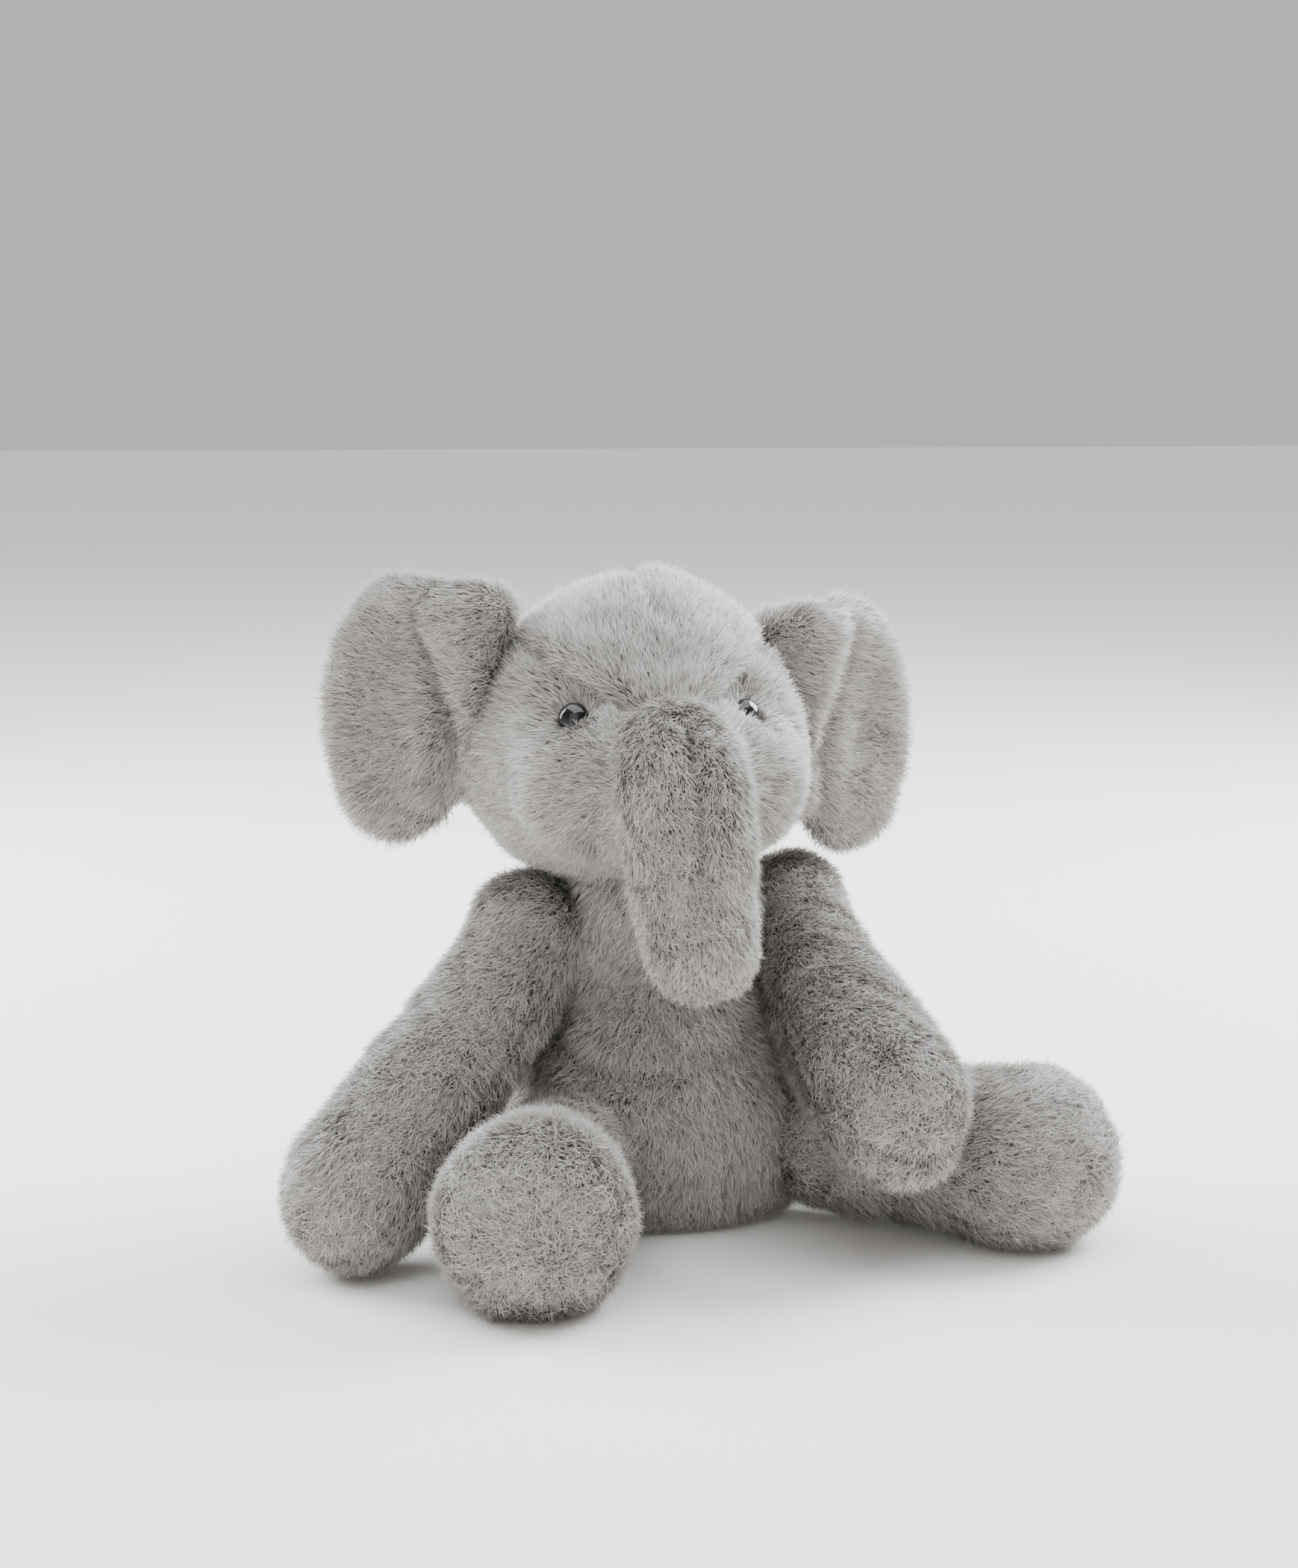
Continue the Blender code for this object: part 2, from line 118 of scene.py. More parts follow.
class PlushColourSettings(bpy.types.PropertyGroup):
    tip: FloatVectorProperty(
        name="Tips", description="Colour of the fibre tips", subtype="COLOR", default=linear("F0EDEA")
    )
    # The middle colour is the fibre's own grey, darkened further as painted shade for the depth of the pile
    middle: FloatVectorProperty(
        name="Middle", description="Colour half way down a fibre", subtype="COLOR", default=linear("B4B0AC")
    )
    # The root colour is the fibre's own grey, darkened further as painted shade for the hollows between the
    # locks
    root: FloatVectorProperty(
        name="Roots",
        description="Colour of the fibres at the cloth",
        subtype="COLOR",
        default=linear("5C5855"),
    )
    eye: FloatVectorProperty(
        name="Eyes", description="Colour of the safety eyes", subtype="COLOR", default=linear("17171A")
    )


class PlushPaddingSettings(bpy.types.PropertyGroup):
    voxel: FloatProperty(
        name="Mesh size",
        description="Edge length that the forms are remeshed to",
        default=4 * MM,
        unit="LENGTH",
    )
    backing_depth: FloatProperty(
        name="Cloth depth",
        description="How far the cloth lies under the pressed pile",
        default=2.6 * MM,
        unit="LENGTH",
    )
    swell: FloatProperty(
        name="Swell",
        description="Most that the filling moves a point of the cloth",
        default=3.0 * MM,
        unit="LENGTH",
    )
    seam_depth: FloatProperty(
        name="Seam depth", description="Depth of the valley along a seam", default=2.6 * MM, unit="LENGTH"
    )
    seam_width: FloatProperty(
        name="Seam width",
        description="Half width of the valley along a seam",
        default=3.4 * MM,
        unit="LENGTH",
    )


class PlushStageSettings(bpy.types.PropertyGroup):
    azimuth: FloatProperty(
        name="Camera azimuth",
        description="Turn of the camera round the toy",
        default=math.radians(-24),
        subtype="ANGLE",
    )
    elevation: FloatProperty(
        name="Camera elevation",
        description="Rise of the camera over the floor",
        default=math.radians(7.5),
        subtype="ANGLE",
    )
    distance: FloatProperty(
        name="Camera distance", description="Distance from the camera to its aim", default=1.1, unit="LENGTH"
    )
    floor: FloatVectorProperty(
        name="Floor", description="Colour of the floor", subtype="COLOR", default=linear("EAE8E5")
    )


# What every piece uses


def deselect_all():
    for obj in bpy.context.selected_objects:
        obj.select_set(False)


def make_active(obj):
    deselect_all()
    obj.select_set(True)
    bpy.context.view_layer.objects.active = obj


def new_object(name, mesh, finish):
    obj = bpy.data.objects.new(name, mesh)
    bpy.context.scene.collection.objects.link(obj)
    mesh.materials.append(finish)
    return obj


def apply_modifiers(obj):
    make_active(obj)
    for modifier in list(obj.modifiers):
        bpy.ops.object.modifier_apply(modifier=modifier.name)


def joint_at(name):
    return Vector(next(j["pos_m"] for j in frame["joints"] if j["name"] == name))


def node_points(nodes):
    """The vertices of some CAD nodes, one row each."""
    found = []
    for name in nodes:
        mesh = frame["nodes"][name].data
        points = np.empty(len(mesh.vertices) * 3)
        mesh.vertices.foreach_get("co", points)
        found.append(points.reshape(-1, 3))
    return np.concatenate(found)


def middle_of(*nodes):
    return Vector(node_points(nodes).mean(0))


def unit(vectors):
    return vectors / np.maximum(np.linalg.norm(vectors, axis=-1, keepdims=True), 1e-12)


def scrambled(cells, seed):
    """Numbers from 0 to 1 that depend on nothing but a whole-number cell and a seed."""
    mixed = cells[:, 0] * 73856093 ^ cells[:, 1] * 19349663 ^ cells[:, 2] * 83492791 ^ (seed + 1) * 2654435761
    mixed = (mixed ^ (mixed >> 13)) * 1274126177
    return ((mixed ^ (mixed >> 16)) & 0xFFFFFF) / 0xFFFFFF


def soft_noise(points, size, seed):
    """Smooth noise from -1 to 1 whose bumps are about size across."""
    cells = np.floor(points / size).astype(np.int64)
    part = points / size - cells
    part = part * part * (3 - 2 * part)
    total = np.zeros(len(points))
    for corner in itertools.product((0, 1), repeat=3):
        weight = np.prod(np.where(corner, part, 1 - part), axis=1)
        total += weight * (2 * scrambled(cells + corner, seed) - 1)
    return total


def noise_vectors(points, size, seed):
    return np.stack([soft_noise(points, size, seed + 11 * k) for k in range(3)], axis=1)


# Materials


def add_node(tree, kind, settings=(), links=()):
    """Adds a node, sets its properties or inputs by name, and links inputs from (node, output) pairs."""
    node = tree.nodes.new(kind)
    for name, value in dict(settings).items():
        if name in node.inputs:
            node.inputs[name].default_value = value
        else:
            setattr(node, name, value)
    for name, (source, output) in dict(links).items():
        tree.links.new(source.outputs[output], node.inputs[name])
    return node


def new_material(name):
    made = bpy.data.materials.new(name)
    made.use_nodes = True
    made.node_tree.nodes.clear()
    return made


def ramp(tree, fac, stops, mode="LINEAR"):
    """A colour ramp on fac, a (node, output) pair, with (place, colour) stops."""
    node = add_node(tree, "ShaderNodeValToRGB", links={"Fac": fac})
    node.color_ramp.interpolation = mode
    while len(node.color_ramp.elements) < len(stops):
        node.color_ramp.elements.new(0.5)
    for element, (place, colour) in zip(node.color_ramp.elements, stops):
        element.position = place
        element.color = (*colour, 1)
    return node


def pile_material():
    """Plush pile, cut and brushed: silvery tips over roots darkened past the fibre's own grey as painted
    shade, so partings and folds read dark.
    """
    if "faux_fur_pile" in bpy.data.materials:
        return bpy.data.materials["faux_fur_pile"]
    colours = bpy.context.scene.plush_colours
    made = new_material("faux_fur_pile")
    tree = made.node_tree
    along = add_node(tree, "ShaderNodeAttribute", {"attribute_name": "along"})
    shade = add_node(tree, "ShaderNodeAttribute", {"attribute_name": "shade"})
    # root to tip ramp: the pale tips are the fibre's own colour, and the darker middle and roots are partly
    # fibre colour and partly painted shade
    fibre = ramp(tree, (along, "Fac"), [(0, colours.root), (0.5, colours.middle), (1, colours.tip)])
    spread = {"To Min": 0.52, "To Max": 1.18}
    strength = add_node(tree, "ShaderNodeMapRange", spread, {"Value": (shade, "Fac")})
    tint = {"Vector": (fibre, "Color"), "Scale": (strength, "Result")}
    tinted = add_node(tree, "ShaderNodeVectorMath", {"operation": "SCALE"}, tint)
    shader = add_node(
        tree,
        "ShaderNodeBsdfPrincipled",
        {"Roughness": 0.62, "Specular IOR Level": 0.35, "Sheen Weight": 0.2, "Sheen Roughness": 0.5},
        {"Base Color": (tinted, "Vector")},
    )
    through = add_node(tree, "ShaderNodeBsdfTranslucent", links={"Color": (tinted, "Vector")})
    both = add_node(tree, "ShaderNodeMixShader", {"Fac": 0.3})
    tree.links.new(shader.outputs[0], both.inputs[1])
    tree.links.new(through.outputs[0], both.inputs[2])
    add_node(tree, "ShaderNodeOutputMaterial", links={"Surface": (both, "Shader")})
    return made


def backing_material():
    """Knitted polyester backing: a dull grey jersey whose 1.2 mm stitches show where the pile parts."""
    if "knitted_backing" in bpy.data.materials:
        return bpy.data.materials["knitted_backing"]
    made = new_material("knitted_backing")
    tree = made.node_tree
    coords = add_node(tree, "ShaderNodeTexCoord")
    wales = add_node(
        tree,
        "ShaderNodeTexWave",
        {"Scale": 1 / STITCH_SIZE / 6.283, "Distortion": 1.5, "Detail": 2, "bands_direction": "DIAGONAL"},
        {"Vector": (coords, "Object")},
    )
    colour = ramp(tree, (wales, "Fac"), [(0, linear("625F5C")), (1, linear("85817E"))])
    relief = {"Strength": 0.5, "Distance": 0.3 * MM}
    bump = add_node(tree, "ShaderNodeBump", relief, {"Height": (wales, "Fac")})
    shader = add_node(
        tree,
        "ShaderNodeBsdfPrincipled",
        {"Roughness": 0.92, "Sheen Weight": 0.3},
        {"Base Color": (colour, "Color"), "Normal": (bump, "Normal")},
    )
    add_node(tree, "ShaderNodeOutputMaterial", links={"Surface": (shader, "BSDF")})
    return made


def eye_material():
    """Acrylic safety eye, moulded and polished: near black with a clear hard highlight."""
    made = new_material("polished_acrylic_eye")
    tree = made.node_tree
    coords = add_node(tree, "ShaderNodeTexCoord")
    mottle = add_node(tree, "ShaderNodeTexNoise", {"Scale": 220, "Detail": 3}, {"Vector": (coords, "Object")})
    black = bpy.context.scene.plush_colours.eye
    colour = ramp(tree, (mottle, "Fac"), [(0.35, black), (0.75, linear("242427"))])
    wear = add_node(tree, "ShaderNodeMapRange", {"To Min": 0.05, "To Max": 0.12}, {"Value": (mottle, "Fac")})
    shader = add_node(
        tree,
        "ShaderNodeBsdfPrincipled",
        {"IOR": 1.49, "Coat Weight": 0.3, "Coat Roughness": 0.03},
        {"Base Color": (colour, "Color"), "Roughness": (wear, "Result")},
    )
    add_node(tree, "ShaderNodeOutputMaterial", links={"Surface": (shader, "BSDF")})
    return made


# Padded forms


def add_hull(bm, nodes):
    """Adds the convex hull of some CAD nodes."""
    verts = [bm.verts.new(p) for p in node_points(nodes)]
    bmesh.ops.convex_hull(bm, input=verts)
    bmesh.ops.delete(bm, geom=[v for v in verts if not v.link_faces], context="VERTS")


def add_ball(bm, centre, radius, stretch=(1, 1, 1)):
    at = Matrix.Translation(centre) @ Matrix.Diagonal((*stretch, 1))
    bmesh.ops.create_icosphere(bm, subdivisions=3, radius=radius, matrix=at)


def form_from(name, bm, smoothing, growth=0.0):
    """Joins overlapping closed shapes into one soft form, and lets its cloth down under the pile."""
    padding = bpy.context.scene.plush_padding
    mesh = bpy.data.meshes.new(name)
    bm.to_mesh(mesh)
    bm.free()
    form = new_object(name, mesh, backing_material())
    join = form.modifiers.new("join", "REMESH")
    join.mode = "VOXEL"
    join.voxel_size = padding.voxel
    rounded = form.modifiers.new("round", "SMOOTH")
    rounded.factor = 0.5
    rounded.iterations = smoothing
    apply_modifiers(form)
    move_along_normals(form, growth - padding.backing_depth)
    FORMS[name] = form
    return form


def vertex_arrays(mesh):
    points, normals = np.empty(len(mesh.vertices) * 3), np.empty(len(mesh.vertices) * 3)
    mesh.vertices.foreach_get("co", points)
    mesh.vertices.foreach_get("normal", normals)
    return points.reshape(-1, 3), normals.reshape(-1, 3)


def set_points(mesh, points):
    mesh.vertices.foreach_set("co", points.reshape(-1).astype(np.float32))
    mesh.update()


def move_along_normals(form, distance):
    """Moves the cloth by a distance, or by one for each vertex."""
    points, normals = vertex_arrays(form.data)
    set_points(form.data, points + normals * np.reshape(distance, (-1, 1)))


def seam_distance(points, seams):
    """How far each point is from the nearest seam. A seam is (point, normal, test of where it runs)."""
    nearest = np.full(len(points), 1.0)
    for place, normal, runs in seams:
        away = np.abs((points - np.array(place)) @ np.array(Vector(normal).normalized()))
        nearest = np.minimum(nearest, np.where(runs(points), away, 1.0))
    return nearest


def everywhere(points):
    return np.ones(len(points), bool)


def pad_out(form, seams=(), pressure=4.0, depth=1.0):
    """Swells the cloth with its filling by simulation, held at its seams, then presses the seams in."""
    padding = bpy.context.scene.plush_padding
    points, _ = vertex_arrays(form.data)
    held = form.vertex_groups.new(name="held")
    near = np.flatnonzero(seam_distance(points, seams) < padding.voxel * 0.7)
    held.add([int(i) for i in near], 1.0, "REPLACE")
    floor_row = np.flatnonzero(points[:, 2] < points[:, 2].min() + padding.voxel)
    held.add([int(i) for i in floor_row], 1.0, "REPLACE")
    cloth = form.modifiers.new("filling", "CLOTH")
    cloth.settings.use_pressure = True
    cloth.settings.uniform_pressure_force = pressure
    cloth.settings.effector_weights.gravity = 0
    cloth.settings.vertex_group_mass = "held"
    scene = bpy.context.scene
    for moment in range(1, FILLING_FRAMES + 1):
        scene.frame_set(moment)
    swollen = form.evaluated_get(bpy.context.evaluated_depsgraph_get())
    target, _ = vertex_arrays(swollen.data)
    form.modifiers.remove(cloth)
    form.vertex_groups.remove(held)
    scene.frame_set(1)
    step = target - points
    size = np.linalg.norm(step, axis=1, keepdims=True)
    set_points(form.data, points + step * np.minimum(1, padding.swell / np.maximum(size, 1e-9)))
    finer = form.modifiers.new("finer", "SUBSURF")
    finer.levels = finer.render_levels = 1
    apply_modifiers(form)
    points, normals = vertex_arrays(form.data)
    valley = np.exp(-((seam_distance(points, seams) / padding.seam_width) ** 2))
    lumps = 1.1 * MM * soft_noise(points, 24 * MM, len(form.name))
    lumps = lumps + 0.5 * MM * soft_noise(points, 9 * MM, 5)
    points = points + normals * (lumps - depth * padding.seam_depth * valley)[:, None]
    points[:, 2] = np.maximum(points[:, 2], CLOTH_CLEARANCE)
    set_points(form.data, points)
    form.data.shade_smooth()
    return form


def inside(form, points, depth=1.5 * MM):
    """Whether each point lies more than depth inside a form."""
    tree = BVHTree.FromObject(form, bpy.context.evaluated_depsgraph_get())
    found = np.zeros(len(points), bool)
    for i, point in enumerate(points):
        near, normal, _, _ = tree.find_nearest(Vector(point), 60 * MM)
        found[i] = near is not None and (Vector(point) - near).dot(normal) < -depth
    return found


# Pile


def limb_flow(start, axis, spread=0.7):
    """Pile that runs along a limb and fans out over its end."""
    start, axis = np.array(start), np.array(Vector(axis).normalized())

    def flow(points):
        away = points - start
        away = away - (away @ axis)[:, None] * axis
        return axis + spread * away / np.maximum(np.linalg.norm(away, axis=1, keepdims=True), 14 * MM)

    return flow


def grow_pile(
    name, form, flow, panel=everywhere, seams=(), hidden=(), bare=(), length=1.0, seed=0, share=1.0
):
    """A mesh of bent locks of fibre, thin at both ends, on one cloth panel of a form. It leaves out what
    lies inside the hidden forms, and a bare circle (middle, radius) round each eye."""
    pile = bpy.context.scene.plush_pile
    points, normals = vertex_arrays(form.data)
    form.data.calc_loop_triangles()
    corners = np.empty(len(form.data.loop_triangles) * 3, np.int32)
    form.data.loop_triangles.foreach_get("vertices", corners)
    corners = corners.reshape(-1, 3)
    a, b, c = (points[corners[:, k]] for k in range(3))
    area = np.linalg.norm(np.cross(b - a, c - a), axis=1) / 2
    centres = (a + b + c) / 3
    area[~panel(centres)] = 0
    for other in hidden:
        shown = np.flatnonzero(area)
        area[shown[inside(FORMS[other], centres[shown])]] = 0
    area[centres[:, 2] < PRESSED_BELOW] *= PRESSED_SHARE
    rng = np.random.default_rng(pile.seed + seed)
    count = int(area.sum() / MM**2 * pile.density * share)
    pick = corners[rng.choice(len(area), count, p=area / area.sum())]
    u, v = rng.random((2, count, 1))
    u, v = np.where(u + v > 1, 1 - u, u), np.where(u + v > 1, 1 - v, v)
    root = points[pick[:, 0]] * (1 - u - v) + points[pick[:, 1]] * u + points[pick[:, 2]] * v
    out = unit(normals[pick[:, 0]] * (1 - u - v) + normals[pick[:, 1]] * u + normals[pick[:, 2]] * v)

    # how long each lock is, and which way it is combed
    to_seam = seam_distance(root, seams)
    size = pile.length * length * (0.8 + 0.4 * rng.random(count))
    size *= 1 + 0.16 * soft_noise(root, 7 * MM, seed) + 0.12 * soft_noise(root, 22 * MM, seed + 1)
    size *= 0.5 + 0.5 * np.clip(to_seam / PARTED_WITHIN, 0, 1)
    comb = unit(flow(root))
    comb = comb + 0.4 * noise_vectors(root, 8 * MM, seed + 2) + 0.35 * noise_vectors(root, 26 * MM, seed + 3)
    comb = comb + 0.38 * rng.standard_normal((count, 3))
    keep = np.ones(count, bool)
    for place, radius in bare:
        away = root - np.array(place)
        distance = np.linalg.norm(away, axis=1)
        near = np.clip((3 * radius - distance) / (2 * radius), 0, 1)
        comb = comb + near[:, None] * (2.6 * unit(away) - np.array([0, 0, 0.35]))
        size *= 1 - 0.4 * near
        keep &= distance > radius
    comb = unit(comb - out * np.sum(comb * out, axis=1, keepdims=True))
    lay = pile.lay + 0.2 * soft_noise(root, 6 * MM, seed + 4) + 0.16 * soft_noise(root, 16 * MM, seed + 5)
    lay = lay + 0.2 * rng.standard_normal(count)
    root, out, comb, size, lay = root[keep], out[keep], comb[keep], size[keep, None], lay[keep, None]
    count = len(root)

    # four points for each lock: its root, the two sides of its bend and its tip
    rising = out * np.sin(lay + 0.3) + comb * np.cos(lay + 0.3)
    falling = out * np.sin(lay - 0.45) + comb * np.cos(lay - 0.45)
    cells = np.floor(root / pile.clump).astype(np.int64)
    tuft = (cells + np.stack([scrambled(cells, seed + k) for k in range(3)], axis=1)) * pile.clump
    gather = tuft - root
    gather = gather - out * np.sum(gather * out, axis=1, keepdims=True)
    bend = root + rising * size * 0.5 + gather * 0.16
    tip = bend + falling * size * 0.5 + gather * 0.3
    roll = rng.uniform(-0.9, 0.9, (count, 1))
    across = unit(np.cross(comb, out))
    across = across * np.cos(roll) + unit(np.cross(rising, across)) * np.sin(roll)
    facing = unit(np.cross(across, tip - root))
    facing *= np.where(np.sum(facing * out, axis=1, keepdims=True) < 0, -1, 1)
    across = across * pile.width / 2 * rng.uniform(0.7, 1.3, (count, 1))
    locks = np.stack([root, bend - across, bend + across, tip], axis=1)
    locks[..., 2] = np.maximum(locks[..., 2], FIBRE_CLEARANCE)

    mesh = bpy.data.meshes.new(name)
    mesh.vertices.add(4 * count)
    mesh.vertices.foreach_set("co", locks.reshape(-1).astype(np.float32))
    index = (np.arange(count)[:, None] * 4 + np.array([0, 2, 1, 1, 2, 3])).reshape(-1)
    mesh.loops.add(6 * count)
    mesh.loops.foreach_set("vertex_index", index.astype(np.int32))
    mesh.polygons.add(2 * count)
    mesh.polygons.foreach_set("loop_start", np.arange(0, 6 * count, 3, dtype=np.int32))
    # how far up its lock each point lies; the pile material darkens the lock towards its root with it, as
    # painted shade
    along = np.tile([0.0, 0.5, 0.5, 1.0], count)
    shade = np.repeat(rng.random(count), 4)
    for attribute, values in (("along", along), ("shade", shade)):
        mesh.attributes.new(attribute, "FLOAT", "POINT").data.foreach_set("value", values.astype(np.float32))
    # every lock shares one small chart: across by its shade, and up from root to tip
    chart = np.stack([0.02 + 0.96 * shade[index], 0.02 + 0.96 * along[index]], axis=1)
    mesh.uv_layers.new(name="OFBake").data.foreach_set("uv", chart.reshape(-1).astype(np.float32))
    mesh.update(calc_edges=True)
    mesh.shade_smooth()
    # normals near the cloth's own, so that the pile shades as one soft surface
    soft = np.repeat(out + 0.3 * comb + 0.8 * facing, 4, axis=0)
    soft = unit(soft + 0.5 * np.repeat(unit(tip - root), 4, axis=0) * along[:, None])
    mesh.normals_split_custom_set_from_vertices(soft)
    fur = new_object(name, mesh, pile_material())
    return fur


# Places that several pieces share


def limb(joint, nodes):
    """A limb's root, its direction and its length, from its joint and its CAD nodes."""
    start = joint_at(joint)
    axis = (middle_of(*nodes) - start).normalized()
    reach = ((node_points(nodes) - np.array(start)) @ np.array(axis)).max()
    return start, axis, reach


TRUNK_UPPER = ("trunk_left_cover", "trunk_right_cover")
TRUNK_LOWER = ("trunk_tip_cover", "trunk_end_panel")
HEAD_NODES = ("head_left_cover", "head_right_cover", "head_crown_cover")
TRUNK_ROOT = joint_at("trunk_lift")
TRUNK_MIDDLE = joint_at("trunk_curl")
TRUNK_END = middle_of("trunk_end_panel")
NECK = joint_at("neck_turn")
LATERAL = Vector(next(j["axis"] for j in frame["joints"] if j["name"] == "neck_nod"))
FORWARD = UP.cross(-LATERAL)
HEAD_MIDDLE = middle_of("head_stuffing")


def eye_axis(side):
    """The middle of a safety eye and the direction that it looks in."""
    eye, washer = middle_of(f"eye_{side}"), middle_of(f"eye_washer_{side}")
    return eye, (eye - washer).normalized()


BROW_LOW = HEAD_MIDDLE + UP * (192 * MM - HEAD_MIDDLE.z)  # where the two brow seams meet
BROW_RISE = 36 / 54  # their rise for each step to the side
CROWN_SEAM_ABOVE = 38 * MM  # where the crown's centre seam starts, over that point


def in_crown(points):
    """Whether each point of the head lies above the V of the two brow seams."""
    across = np.abs((points - np.array(BROW_LOW)) @ np.array(LATERAL))
    return points[:, 2] - BROW_LOW.z > BROW_RISE * across


def brow_seams():
    """The two seams that run from the trunk's root to the tops of the ears, and the crown's centre seam."""
    seams = []
    for sign in SIDES.values():
        normal = (LATERAL * sign + UP * BROW_RISE).cross(FORWARD)

        def own_side(points, sign=sign):
            return (points - np.array(BROW_LOW)) @ np.array(LATERAL) * sign > 0

        seams.append((BROW_LOW, normal, own_side))
    seams.append((BROW_LOW, LATERAL, lambda p: p[:, 2] > BROW_LOW.z + CROWN_SEAM_ABOVE))
    return seams


# Balls that round off a form, as (distance along the limb, radius) in mm
ARM_BALLS_MM = ((0, 21), (14, 21), (30, 22), (48, 23))
LEG_BALLS_MM = ((-6, 24), (10, 25), (28, 26), (42, 27.5), (53, 29.5), (63, 31.5))
SOLE_BALL_MM = (33.5, 33)  # distance from the limb's end, and radius
SOLE_SEAM_INSET = 9 * MM
LEG_FOLD = ((-49 * MM, -37 * MM, 56 * MM), (-0.334, -0.532, 0.778))  # in the torso, over the near leg
EYE_RADIUS_MM = 6
EYE_DOME = 0.66  # height of the eye's dome by its radius
SOCKET_DEPTH, SOCKET_WIDTH = 5.6 * MM, 11 * MM
BARE_RADIUS = 6.3 * MM


# Operators


class PLUSH_OT_torso(bpy.types.Operator):
    """Add the pear-shaped body, sat on its oval seat"""

    bl_idname = "plush.torso"
    bl_label = "Torso"

    def execute(self, context):
        bm = bmesh.new()
        covers = ("torso_front_cover", "torso_back_cover", "seat_panel")
        add_hull(bm, covers)
        add_ball(bm, NECK, 40 * MM, (1, 1, 0.8))
        for side in SIDES:
            shoulder = joint_at(f"shoulder_{side}_swing")
            add_ball(bm, shoulder * 0.62 + (NECK - UP * 22 * MM) * 0.38, 19 * MM)
        torso = form_from("torso_cloth", bm, 6)

        def over_leg(points):
            beside = (points[:, 0] < -16 * MM) & (points[:, 1] < 0)
            return (np.abs(points[:, 2] - 66 * MM) < 20 * MM) & beside

        flanks = [((0, 0, 0), (0, 1, 0), lambda p: p[:, 2] > 8 * MM), (*LEG_FOLD, over_leg)]
        pad_out(torso, flanks)
        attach(torso, "torso")
        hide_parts("torso_stuffing", "seat_weight_bag", "neck_seam_thread", "neck_wad")

        def down(points):
            return np.array([0, 0, -1.0]) + 0.35 * unit(points * [1, 1, 0])

        for name, node, panel, seed in (
            ("torso_front_pile", "torso_front_cover", lambda p: p[:, 1] < 0, 10),
            ("torso_back_pile", "torso_back_cover", lambda p: p[:, 1] >= 0, 20),
        ):
            fur = grow_pile(name, torso, down, panel, flanks, seed=seed, share=0.84)
            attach(fur, "torso")
            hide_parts(node)
        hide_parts("seat_panel")
        return {"FINISHED"}


class PLUSH_OT_head(bpy.types.Operator):
    """Add the round head with its brow seams and eye sockets"""

    bl_idname = "plush.head"
    bl_label = "Head"

    def execute(self, context):
        bm = bmesh.new()
        add_hull(bm, HEAD_NODES)
        add_ball(bm, TRUNK_ROOT - FORWARD * 12 * MM, 29 * MM)
        for sign in SIDES.values():
            cheek = HEAD_MIDDLE + LATERAL * sign * 27 * MM + FORWARD * 30 * MM - UP * 20 * MM
            add_ball(bm, cheek, 27 * MM)
        head = form_from("head_cloth", bm, 6, 0.8 * MM)
        seams = brow_seams()
        pad_out(head, seams)
        points, normals = vertex_arrays(head.data)
        ahead = np.clip((points - np.array(HEAD_MIDDLE)) @ np.array(FORWARD) / (60 * MM), 0, 1)
        groove = np.exp(-((seam_distance(points, seams[:2]) / (4.5 * MM)) ** 2))
        puff = np.exp(-((seam_distance(points, seams[:2]) / (15 * MM)) ** 2)) * in_crown(points)
        points = points + normals * ((3.0 * MM * puff - 2.8 * MM * groove) * ahead)[:, None]
        for side in SIDES:
            eye, look = eye_axis(side)
            socket = np.array(eye + UP * 3 * MM)
            away = np.linalg.norm(points - socket, axis=1)
            points = points - np.array(look) * (SOCKET_DEPTH * np.exp(-((away / SOCKET_WIDTH) ** 2)))[:, None]
        set_points(head.data, points)
        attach(head, "head")
        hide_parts("head_stuffing")

        face, back = np.array(TRUNK_ROOT), -np.array(FORWARD)

        def from_face(points):
            return unit(points - face) + np.array([0, 0, -0.25]) + 0.2 * back

        middle, sides = np.array(HEAD_MIDDLE), np.array(LATERAL)
        panels = {
            "head_crown_pile": in_crown,
            "head_left_pile": lambda p: ~in_crown(p) & ((p - middle) @ sides > 0),
            "head_right_pile": lambda p: ~in_crown(p) & ((p - middle) @ sides <= 0),
        }
        bare = [(eye + look * 2 * MM, BARE_RADIUS) for eye, look in map(eye_axis, SIDES)]
        for index, (name, panel) in enumerate(panels.items()):
            seed = 30 + 10 * index
            fur = grow_pile(name, head, from_face, panel, seams, ["torso_cloth"], bare, seed=seed)
            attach(fur, "head")
            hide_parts(name.replace("_pile", "_cover"))
        return {"FINISHED"}


class PLUSH_OT_eyes(bpy.types.Operator):
    """Add the two polished safety eyes in their sockets"""

    bl_idname = "plush.eyes"
    bl_label = "Eyes"

    def execute(self, context):
        finish = eye_material()
        for side in SIDES:
            eye, look = eye_axis(side)
            points = node_points([f"eye_{side}"])
            front = Vector(eye) + look * ((points - np.array(eye)) @ np.array(look)).max()
            turn = look.to_track_quat("Z", "Y")
            deselect_all()
            bpy.ops.mesh.primitive_uv_sphere_add(segments=64, ring_count=32, radius=EYE_RADIUS_MM * MM)
            dome = bpy.context.active_object
            dome.name = dome.data.name = f"eye_{side}_dome"
            dome.scale = (1, 1, EYE_DOME)
            dome.rotation_mode = "QUATERNION"
            dome.rotation_quaternion = turn
            dome.location = front - look * EYE_RADIUS_MM * EYE_DOME * MM
            bpy.ops.object.transform_apply(location=True, rotation=True, scale=True)
            bpy.ops.object.shade_smooth()
            dome.data.materials.append(finish)
            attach(dome, "head")
            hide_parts(f"eye_{side}", f"eye_washer_{side}")
        return {"FINISHED"}


